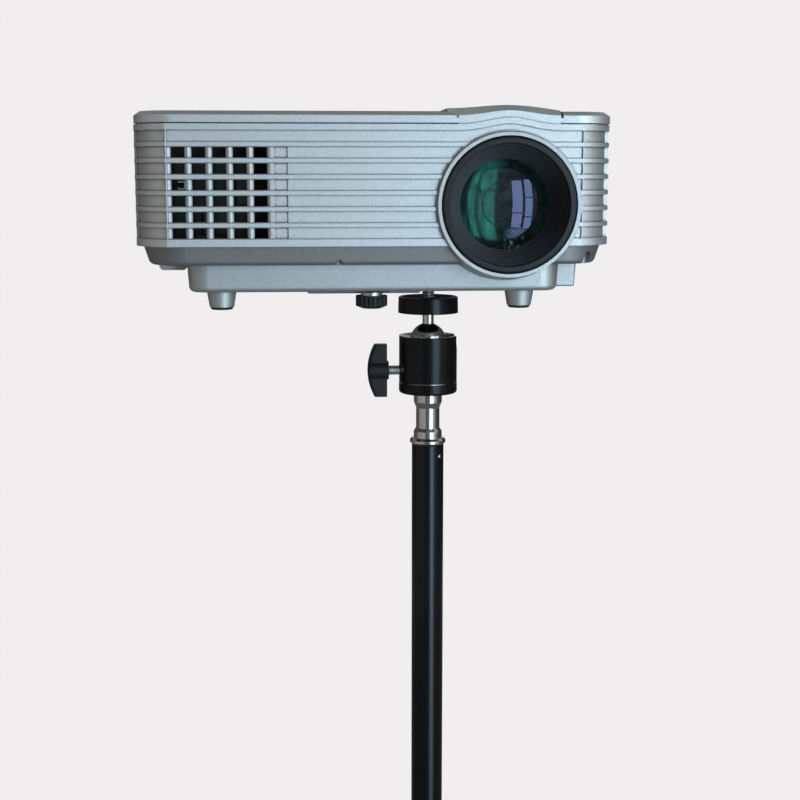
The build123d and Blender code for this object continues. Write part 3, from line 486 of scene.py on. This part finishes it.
def outward(points, faces):
    """The faces of a convex form turned so that they look outwards."""
    middle = sum(points, Vector()) / len(points)
    turned_faces = []
    for face in faces:
        a, b, c = (points[i] for i in face[:3])
        out = (b - a).cross(c - a)
        centre = sum((points[i] for i in face), Vector()) / len(face)
        turned_faces.append(face if out.dot(centre - middle) > 0 else face[::-1])
    return turned_faces


def boxed(low, high, edge):
    """Points and faces of a box with its edges cut back."""
    low, high = Vector(low), Vector(high)
    middle, half = (low + high) / 2, (high - low) / 2
    corners = [(x, y, z) for x in (-1, 1) for y in (-1, 1) for z in (-1, 1)]
    points, faces, index = [], [], {}
    for corner in corners:
        for axis in range(3):
            cut = [half[i] if i == axis else half[i] - edge for i in range(3)]
            index[corner, axis] = len(points)
            points.append(middle + Vector([corner[i] * cut[i] for i in range(3)]))
    for axis in range(3):
        for side in (-1, 1):
            face = [index[corner, axis] for corner in corners if corner[axis] == side]
            faces.append([face[i] for i in (0, 1, 3, 2)])
    for axis, other in ((0, 1), (0, 2), (1, 2)):
        for side in (-1, 1):
            for other_side in (-1, 1):
                ends = [corner for corner in corners if corner[axis] == side and corner[other] == other_side]
                strip = [index[end, axis] for end in ends]
                faces.append(strip + [index[end, other] for end in ends[::-1]])
    faces += [[index[corner, axis] for axis in range(3)] for corner in corners]
    return points, outward(points, faces)


def chip_black(start):
    deep_black = (0.010, 0.010, 0.010, 1)
    dusty_black = (0.022, 0.022, 0.022, 1)
    grain = cloudy(place_on(start), scale=1600, detail=2)
    return {
        "Base Color": blended(grain, deep_black, dusty_black),
        "Roughness": 0.45 + 0.2 * grain,
    }


def connector_nylon(start):
    aged_white = (0.62, 0.59, 0.52, 1)
    clean_white = (0.74, 0.72, 0.66, 1)
    grain = cloudy(place_on(start), scale=700, detail=2)
    return {
        "Base Color": blended(grain, aged_white, clean_white),
        "Roughness": 0.42 + 0.15 * grain,
    }


dress(material("dark_board", {}, board_lacquer), "driver_board")
board_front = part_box("driver_board")[0].y
# Each chip: its middle, and half its width and height
chips = [
    (-0.100, 0.958, 0.007, 0.005), (-0.088, 0.972, 0.004, 0.006), (-0.078, 0.953, 0.003, 0.003),
    (-0.108, 0.950, 0.003, 0.003), (-0.092, 0.9495, 0.006, 0.002), (-0.072, 0.970, 0.005, 0.004),
]
chip_thickness, chip_edge = 0.0022, 0.0003
chip_forms = []
for x, z, half_x, half_z in chips:
    chip_low = (x - half_x, board_front - chip_thickness, z - half_z)
    chip_high = (x + half_x, board_front, z + half_z)
    chip_forms.append((*boxed(chip_low, chip_high, chip_edge), in_place))
piece("board_chips", chip_forms, material("chip_black", {}, chip_black), "projector")
# The connector's two lips and the wall between them: left, right, bottom, top, and how far each stands out
connector_walls = [
    (-0.1178, -0.1148, 0.9733, 0.9738, 0.005),
    (-0.1178, -0.1148, 0.9763, 0.9768, 0.005),
    (-0.1150, -0.1145, 0.9733, 0.9768, 0.004),
]
connector_edge = 0.0001
connector_forms = []
for left, right, bottom, top, out in connector_walls:
    wall = boxed((left, board_front - out, bottom), (right, board_front, top), connector_edge)
    connector_forms.append((*wall, in_place))
nylon = material("connector_nylon", {}, connector_nylon)
piece("board_connector", connector_forms, nylon, "projector")


# Inner shade box and fan
# A black box inside the case is painted shade: it closes the view through the grille, the louvres and the
# rear slots.
# Behind the rear slots a small moulded fan stands in its round frame: a hub, bent blades and four struts.
def shade_box_black(start):
    deep_grey = (0.034, 0.033, 0.036, 1)
    dusty_grey = (0.070, 0.068, 0.074, 1)
    grain = cloudy(place_on(start), scale=800, detail=3)
    return {
        "Base Color": blended(grain, deep_grey, dusty_grey),
        "Roughness": 0.62 + 0.20 * grain,
        "Normal": bumped(grain, strength=0.15, depth=0.00005),
    }


# Painted shade: a dark box that stands where the inside of the case lies in shade.
shade_box_finish = material("shade_box_black", {"Specular IOR Level": 0.2}, shade_box_black)
shade_box_form = boxed(low=(-0.1296, -0.0340, 0.9490), high=(0.0700, 0.0640, 1.0040), edge=0.001)
piece("inner_shade_box", [(*shade_box_form, in_place)], shade_box_finish, "projector")
to_back = (0, 1, 0)
fan_seat = along(Vector((-0.0896, 0.0765, 0.975)), to_back)
fan_frame_profile = [
    (0.0225, -0.0100), (0.0262, -0.0100), (0.0262, 0.0),
    (0.0235, 0.0), (0.0228, -0.0012), (0.0225, -0.0100),
]
fan_frame = turned(fan_frame_profile, 72)
fan_hub = turned([(0.0100, -0.0095), (0.0100, -0.0020), (0.0092, -0.0012), (0.0, -0.0010)], 48)
blade_count, blade_rows, blade_columns = 7, 7, 5
blade_root, blade_length, blade_back, blade_rise = 0.0098, 0.0122, -0.0085, 0.0060
blade_turn, blade_bend = 0.62, 0.35
blade_points, blade_faces = [], []
for blade in range(blade_count):
    first_point = len(blade_points)
    for row in range(blade_rows):
        out = row / (blade_rows - 1)
        reach = blade_root + blade_length * out
        for column in range(blade_columns):
            over = column / (blade_columns - 1)
            angle = 2 * math.pi * blade / blade_count + blade_turn * over + blade_bend * out**2
            level = blade_back + blade_rise * over
            blade_points.append(Vector((reach * math.cos(angle), reach * math.sin(angle), level)))
    for row in range(blade_rows - 1):
        for column in range(blade_columns - 1):
            here = first_point + row * blade_columns + column
            blade_faces.append([here, here + blade_columns, here + blade_columns + 1, here + 1])
fan_forms = [(*fan_frame, fan_seat), (*fan_hub, fan_seat), (blade_points, blade_faces, fan_seat)]
strut = boxed(low=(0.0095, -0.0011, -0.0008), high=(0.0230, 0.0011, 0.0004), edge=0.0003)
for bearing in (45, 135, 225, 315):
    fan_forms.append((*strut, fan_seat @ Matrix.Rotation(math.radians(bearing), 4, "Z")))
piece("cooling_fan", fan_forms, black_moulding, "projector")


# Rear sockets and power inlet
# The socket strip and the two-pin inlet are black moulded plastic set in the rear panel.
# Inside are tinned tongues and shells, and two round bright pins.
dress(black_moulding, "port_strip", "power_inlet")
strip_low, strip_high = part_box("port_strip")
strip_level = (strip_low.z + strip_high.z) / 2
socket_count = 5
socket_pitch = (strip_high.x - strip_low.x) / socket_count
socket_places = [strip_low.x + (number + 0.5) * socket_pitch for number in range(socket_count)]
# Half the width and height of the tongues in the first three sockets; the last two are round jacks
tongues = [(0.0056, 0.0006), (0.0050, 0.0008), (0.0045, 0.0011)]
tongue_back, tongue_front, tongue_edge = 0.0020, 0.0004, 0.0001
tongue_forms = []
for x, (half_x, half_z) in zip(socket_places, tongues):
    tongue_low = (x - half_x, strip_high.y - tongue_back, strip_level - half_z)
    tongue_high = (x + half_x, strip_high.y - tongue_front, strip_level + half_z)
    tongue_forms.append((*boxed(tongue_low, tongue_high, tongue_edge), in_place))
jack_profile = [
    (0.0019, -0.0020), (0.0019, -0.0003), (0.0022, 0.0),
    (0.0031, 0.0), (0.0033, -0.0003), (0.0033, -0.0020),
]
jack = turned(jack_profile, 32)
for x in socket_places[len(tongues):]:
    tongue_forms.append((*jack, along(Vector((x, strip_high.y, strip_level)), to_back)))
piece("socket_tongues", tongue_forms, steel, "projector")
inlet_low, inlet_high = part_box("power_inlet")
inlet_mid = (inlet_low + inlet_high) / 2
inlet_pin = turned([(0.0012, -0.0092), (0.0012, -0.0024), (0.0009, -0.0019), (0.0, -0.0018)], 24)
inlet_pin_offset = 0.0043
pin_forms = []
for side in (-1, 1):
    pin_foot = Vector((inlet_mid.x + side * inlet_pin_offset, inlet_high.y, inlet_mid.z))
    pin_forms.append((*inlet_pin, along(pin_foot, to_back)))
piece("inlet_pins", pin_forms, steel, "projector")


# Focus ring
# The focus ring is turned black plastic: a plain rim, then a deep cone cut with steps against stray light.
# The steps are satin and catch a soft grey light on the side that faces the window.
def ring_black(start):
    deep_black = (0.0045, 0.0048, 0.0052, 1)
    rubbed_black = (0.0095, 0.0100, 0.0108, 1)
    place = place_on(start)
    grain = cloudy(place, scale=1700, detail=2)
    patch = cloudy(place, scale=130, detail=4)
    return {
        "Base Color": blended(patch, deep_black, rubbed_black),
        "Roughness": 0.36 + 0.12 * grain,
        "Normal": bumped(grain, strength=0.08, depth=0.00004),
    }


lens_black = material("focus_ring_black", {"Specular IOR Level": 0.30}, ring_black)
lens_x, lens_y, lens_level = 0.0294, -0.068, 0.9664
lens_axis = along(Vector((lens_x, lens_y, lens_level)), to_back)
ring_front, ring_outer, ring_mouth, ring_back = -0.0026, 0.0301, 0.0269, 0.0123
barrel, barrel_bore, barrel_back = 0.0240, 0.0211, 0.0320
cone_front, cone_back, glass_edge = ring_front + 0.0006, 0.0130, 0.0205
ring_profile = [
    (barrel_bore, barrel_back), (barrel, barrel_back), (barrel, ring_back), (ring_outer, ring_back),
    (ring_outer, ring_front + 0.0010), (ring_outer - 0.0003, ring_front + 0.0003),
    (ring_outer - 0.0009, ring_front), (ring_mouth + 0.0005, ring_front),
    (ring_mouth + 0.0001, ring_front + 0.0002), (ring_mouth, cone_front),
]
step_count, tread_share, step_lip, lip_depth, lip_round = 9, 0.25, 0.00010, 0.00020, 0.00004
for step in range(step_count):
    depth = cone_back - (cone_back - cone_front) * (1 - (step + 1) / step_count)
    tread_from = ring_mouth + (glass_edge - ring_mouth) * (step + tread_share) / step_count
    tread_to = ring_mouth + (glass_edge - ring_mouth) * (step + 1) / step_count
    ring_profile += [(tread_from, depth - lip_depth), (tread_from - step_lip, depth - lip_round)]
    ring_profile.append((tread_to, depth))
ring_profile += [(glass_edge + 0.0004, cone_back + 0.0002), (barrel_bore, cone_back + 0.0003)]
ring_points, ring_faces = turned(ring_profile, 192)
ring_form = (ring_points, [face[::-1] for face in ring_faces], lens_axis)
ring_piece = piece("focus_ring_stepped", [ring_form], lens_black, "focus", sharp=25)
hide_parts("focus_ring")


# Front glass
# A thick front element, ground and coated: its domed face mirrors blue-violet and lets little light through.
# Wiping marks, a smudge and a thin film of dust lie on the dome, and its rim is painted black.
def dome(edge, curve, pole):
    """The profile of a ground face, from its pole to its edge."""
    count = 24
    radii = [edge * i / count for i in range(count + 1)]
    return [(radius, pole + curve - math.sqrt(curve**2 - radius**2)) for radius in radii]


def wiped_glass(start):
    return {"Roughness": 0.010 + 0.03 * cloudy(place_on(start), scale=150, detail=4)}


def distance(place, middle):
    """How far a place is from a point, in metres."""
    return place.node("VectorMath", {"operation": "DISTANCE"}, {0: place, 1: middle}, give="Value")


def near(place, middle, inner, outer):
    """One inside a round patch, falling to nothing at its outer edge."""
    return ramped(distance(place, middle), low=inner, high=outer, at_low=1.0, at_high=0.0)


smoked = {
    "Base Color": (0.029, 0.029, 0.029, 1), "Transmission Weight": 1.0, "IOR": 1.65,
    "Specular Tint": (0.36, 0.34, 0.60, 1),
}
front_coat = material("violet_coated_glass", smoked, wiped_glass)
coat_tree = front_coat.node_tree
coat = Tone(coat_tree)
glass_place = place_on(coat)
smear = cloudy(glass_place, scale=260, detail=6)
rubbed_mark = cloudy(glass_place, scale=560, detail=5)
wisp = ramped(rubbed_mark, low=0.52, high=0.64, at_low=0.0, at_high=1.0)
glass_middle, smudge_middle = (0.0265, -0.0590, 0.9690), (0.0330, -0.0570, 0.9500)
dust = smear * smear * (0.05 + 0.15 * near(glass_place, glass_middle, 0.002, 0.015))
dust = dust + wisp * near(glass_place, smudge_middle, 0.0015, 0.0060) * 0.38
film = coat.node("BsdfDiffuse", {}, {"Color": (0.40, 0.52, 0.48, 1)})
bare_glass = Tone(coat_tree, coat_tree.nodes["Principled BSDF"].outputs[0])
dusted = coat.node("MixShader", {}, {0: dust, 1: bare_glass, 2: film})
coat_tree.links.new(dusted.socket, coat_tree.nodes["Material Output"].inputs["Surface"])
dome_curve, glass_front, glass_back, glass_sides = 0.050, 0.0086, 0.0155, 128
dome_profile = dome(glass_edge, dome_curve, glass_front)
front_face = turned(dome_profile, glass_sides)
front_piece = piece("front_glass_dome", [(*front_face, lens_axis)], front_coat, "focus")
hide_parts("front_lens")
rim_face = turned([dome_profile[-1], (glass_edge, glass_back)], glass_sides)
piece("front_glass_rim", [(*rim_face, lens_axis)], lens_black, "focus")


# Inner lens group
# The element's flat back is coated too and mirrors green, with a thin cemented rim part of the way out.
# What lies behind it is dark.
def green_coat(start):
    worn_green = (0.035, 0.30, 0.22, 1)
    clear_green = (0.20, 1.0, 0.74, 1)
    place = place_on(start)
    wiped = cloudy(stretched(place, 1, 1, 0.22), scale=420, detail=4)
    patch = cloudy(place, scale=130, detail=3)
    clear = ramped(0.6 * wiped + 0.4 * patch, low=0.36, high=0.62, at_low=0.0, at_high=1.0)
    return {
        "Base Color": blended(clear, worn_green, clear_green),
        "Roughness": 0.04 + 0.07 * wiped,
    }


def pale_cement(start):
    thin_cement = (0.55, 0.62, 0.58, 1)
    thick_cement = (0.90, 0.92, 0.88, 1)
    patch = cloudy(place_on(start), scale=300, detail=3)
    return {
        "Base Color": blended(patch, thin_cement, thick_cement),
        "Roughness": 0.4 + 0.2 * patch,
    }


inner_coat = material("green_coated_face", {"Metallic": 1.0}, green_coat)
back_face = turned([(glass_edge, glass_back), (0.0, glass_back)], glass_sides)
piece("inner_coated_face", [(*back_face, lens_axis)], inner_coat, "focus")
rim_radius, rim_depth, rim_thickness, rim_sides = 0.0098, glass_back - 0.0003, 0.00016, 12
rim_turns = [2 * math.pi * step / rim_sides for step in range(rim_sides + 1)]
rim_profile = [
    (rim_radius + rim_thickness * math.cos(turn), rim_depth + rim_thickness * math.sin(turn))
    for turn in rim_turns
]
cement = material("pale_cement", {}, pale_cement)
piece("cemented_rim", [(*turned(rim_profile, glass_sides), lens_axis)], cement, "focus")


# Floor and surround
# A plain pale floor and a pale surround, lifted for the camera and for what metal and glass mirror.
# The floor near the stand keeps its shading, so the stand's shadow stays.
def ray_kind(start, first, *others):
    """One for rays of the named kinds, and nothing for the rest."""
    total = start.node("LightPath", {}, {}, give=first)
    for other in others:
        seen = start.node("LightPath", {}, {}, give=other)
        total = start.node("Math", {"operation": "ADD", "use_clamp": True}, {0: total, 1: seen})
    return total


def staged(name, points, faces, finish):
    """A stage object: not part of the stand."""
    mesh = bpy.data.meshes.new(name)
    mesh.from_pydata(points, [], faces)
    mesh.materials.append(finish)
    made = bpy.data.objects.new(name, mesh)
    bpy.context.scene.collection.objects.link(made)
    return made


pale = (0.871, 0.855, 0.863, 1)
warm_white = (1.0, 0.97, 0.94)
world = bpy.data.worlds.new("surround")
bpy.context.scene.world = world
world.use_nodes = True
world.node_tree.nodes.clear()
sky = Tone(world.node_tree)
plain_fill = sky.node("Background", {}, {"Color": (*warm_white, 1), "Strength": 0.45})
pale_back = sky.node("Background", {}, {"Color": pale, "Strength": 1.0})
sky_seen = ray_kind(sky, "Is Camera Ray", "Is Glossy Ray", "Is Transmission Ray")
sky_light = sky.node("MixShader", {}, {0: sky_seen, 1: plain_fill, 2: pale_back})
sky.node("OutputWorld", {}, {"Surface": sky_light})

floor_finish = bpy.data.materials.new("pale_floor")
floor_finish.use_nodes = True
floor_finish.node_tree.nodes.clear()
ground = Tone(floor_finish.node_tree)
stand_foot = (0, 0, 0)
far = distance(place_on(ground), stand_foot)
camera_lift = ramped(far, low=0.30, high=1.25, at_low=0.55, at_high=1.0, way="SMOOTHSTEP")
mirror_lift = ramped(far, low=0.50, high=1.40, at_low=0.0, at_high=1.0, way="SMOOTHSTEP")
lift = ray_kind(ground, "Is Camera Ray") * camera_lift
lift = lift + ray_kind(ground, "Is Glossy Ray", "Is Transmission Ray") * mirror_lift
matt = ground.node("BsdfDiffuse", {}, {"Color": (0.80, 0.79, 0.79, 1)})
glow = ground.node("Emission", {}, {"Color": pale, "Strength": 1.0})
floor_light = ground.node("MixShader", {}, {0: lift, 1: matt, 2: glow})
ground.node("OutputMaterial", {}, {"Surface": floor_light})
square = [(-1, -1), (1, -1), (1, 1), (-1, 1)]
floor_reach, floor_level = 30, -0.0002
floor_corners = [(x * floor_reach, y * floor_reach, floor_level) for x, y in square]
staged("studio_floor", floor_corners, [(0, 1, 2, 3)], floor_finish)


# Room round the camera
# Grey walls, a ceiling and a rug that only metal and glass mirror: darker beside the window and far to the
# sides, with daylight on the rug below the window, and open behind, where the pale surround edges the metal.
def room_finish(name, paint):
    made = bpy.data.materials.new(name)
    made.use_nodes = True
    made.node_tree.nodes.clear()
    start = Tone(made.node_tree)
    lit = start.node("Emission", {}, {"Color": paint(start), "Strength": 1.0})
    start.node("OutputMaterial", {}, {"Surface": lit})
    return made


def wall_paint(start):
    """Greys by bearing in degrees, counted from the front to the right; the upper right is lit."""
    left_side = [(-178, 0.06), (-105, 0.12), (-90, 0.36), (-32, 0.44), (-22, 0.13), (-6, 0.10), (8, 0.20)]
    right_low = [(42, 0.52), (58, 0.52), (72, 0.20), (85, 0.09), (112, 0.05), (158, 0.05)]
    right_high = [(40, 0.52), (45, 2.9), (60, 2.9), (70, 0.22), (85, 0.09), (112, 0.05), (158, 0.05)]
    warm_green, warm_blue = 0.975, 0.95
    place = place_on(start)
    bearing = start.sum("ARCTAN2", reading(place, "X"), 0 - reading(place, "Y")) * (180 / math.pi)
    turn = ramped(bearing, low=-180, high=180, at_low=0.0, at_high=1.0)
    bands = []
    for levels in (left_side + right_low, left_side + right_high):
        greys = [(level, level * warm_green, level * warm_blue, 1) for degrees, level in levels]
        stops = [(0.5 + degrees / 360, grey) for (degrees, level), grey in zip(levels, greys)]
        bands.append(start.node("ValToRGB", {"stops": stops}, {"Fac": turn}))
    upper = ramped(reading(place, "Z"), low=1.05, high=1.35, at_low=0.0, at_high=1.0)
    return blended(upper, *bands)


def ceiling_paint(start):
    dark_grey = (0.12, 0.119, 0.118, 1)
    mid_grey = (0.17, 0.169, 0.167, 1)
    window_grey = (0.55, 0.545, 0.54, 1)
    place = place_on(start)
    overhead = blended(cloudy(place, scale=1.2, detail=2), dark_grey, mid_grey)
    out_from_stand = distance(stretched(place, 1, 1, 0), stand_foot)
    outer = ramped(out_from_stand, low=1.3, high=2.3, at_low=0.0, at_high=1.0)
    return blended(outer, overhead, window_grey)


def rug_weave(start):
    dark_grey = (0.10, 0.098, 0.100, 1)
    mid_grey = (0.15, 0.147, 0.150, 1)
    daylit_grey = (2.6, 3.7, 4.5, 1)
    window_foot = (0.78, -1.50, 0)
    place = place_on(start)
    woven = blended(cloudy(place, scale=6.0, detail=3), dark_grey, mid_grey)
    return blended(near(place, window_foot, 0.25, 0.60), woven, daylit_grey)


room_reach, room_top = 2.6, 2.6
wall_from, wall_to, wall_steps = -178, 158, 58
wall_points, wall_faces = [], []
for step in range(wall_steps + 1):
    bearing = math.radians(wall_from + (wall_to - wall_from) * step / wall_steps)
    for level in (0.0, room_top):
        wall_points.append((room_reach * math.sin(bearing), -room_reach * math.cos(bearing), level))
    if step:
        wall_faces.append((2 * step - 2, 2 * step, 2 * step + 1, 2 * step - 1))
room_wall = staged("room_wall", wall_points, wall_faces, room_finish("room_wall_paint", wall_paint))
ceiling_points = [(x * room_reach, y * room_reach, room_top) for x, y in square]
ceiling_finish = room_finish("ceiling_paint", ceiling_paint)
room_ceiling = staged("room_ceiling", ceiling_points, [(0, 1, 2, 3)], ceiling_finish)
rug_reach, rug_level, rug_sides = 2.5, -0.0001, 48
rug_turns = [2 * math.pi * step / rug_sides for step in range(rug_sides)]
rug_points = [(rug_reach * math.cos(turn), rug_reach * math.sin(turn), rug_level) for turn in rug_turns]
room_rug = staged("room_rug", rug_points, [list(range(rug_sides))], room_finish("rug_weave", rug_weave))
for card in (room_wall, room_ceiling, room_rug):
    card.visible_camera = False
    card.visible_diffuse = False
    card.visible_shadow = False


# Lamps
# A bluish window reaches the floor to the right of the camera: a wide leaf and a narrow one, both barred.
# A broad soft lamp behind and above fills the back.
def lamp(name, place, aim, size, power, colour):
    data = bpy.data.lights.new(name, "AREA")
    data.shape = "RECTANGLE"
    data.size, data.size_y = size
    data.energy = power
    data.color = colour
    made = bpy.data.objects.new(name, data)
    made.location = place
    made.rotation_euler = (Vector(aim) - Vector(place)).to_track_quat("-Z", "Y").to_euler()
    made.visible_camera = False
    bpy.context.scene.collection.objects.link(made)
    return made


daylight = (0.58, 0.83, 1.0)
pane_glow = 7.75
# Each leaf: its place, its width, and the bottom and top of its panes
window_leaves = {
    "window_wide": (0.754, -1.932, 0.40, [(0.02, 0.60), (0.64, 1.86)]),
    "window_narrow": (1.155, -1.721, 0.297, [(0.02, 0.46), (0.50, 1.16), (1.20, 1.86)]),
}
for name, (x, y, width, panes) in window_leaves.items():
    for bottom, top in panes:
        level, tall = (bottom + top) / 2, top - bottom
        power = pane_glow * math.pi * width * tall
        lamp(name, (x, y, level), (lens_x, lens_y, level), (width, tall), power, daylight)
back_fill = lamp("back_fill", (-1.2, 2.4, 2.2), (0, 0, 0.6), (2.0, 1.6), 26.0, warm_white)
back_fill.visible_glossy = False


# Camera
# The camera stands level with the projector, a little to the left of the lens, and looks slightly down.
# Its place, angles and lens were worked out from the edges of the case in the photograph.
yaw, pitch_down = math.radians(4.45), math.radians(9.285)
level_reach = math.cos(pitch_down)
look = Vector((math.sin(yaw) * level_reach, math.cos(yaw) * level_reach, -math.sin(pitch_down)))
camera_data = bpy.data.cameras.new("camera")
camera_data.lens = 63.0
camera_data.sensor_width = 36.0
camera = bpy.data.objects.new("camera", camera_data)
camera.location = (-0.0676, -0.6889, 0.9813)
camera.rotation_euler = look.to_track_quat("-Z", "Y").to_euler()
bpy.context.scene.collection.objects.link(camera)
bpy.context.scene.camera = camera
bpy.context.scene.view_settings.view_transform = "Standard"
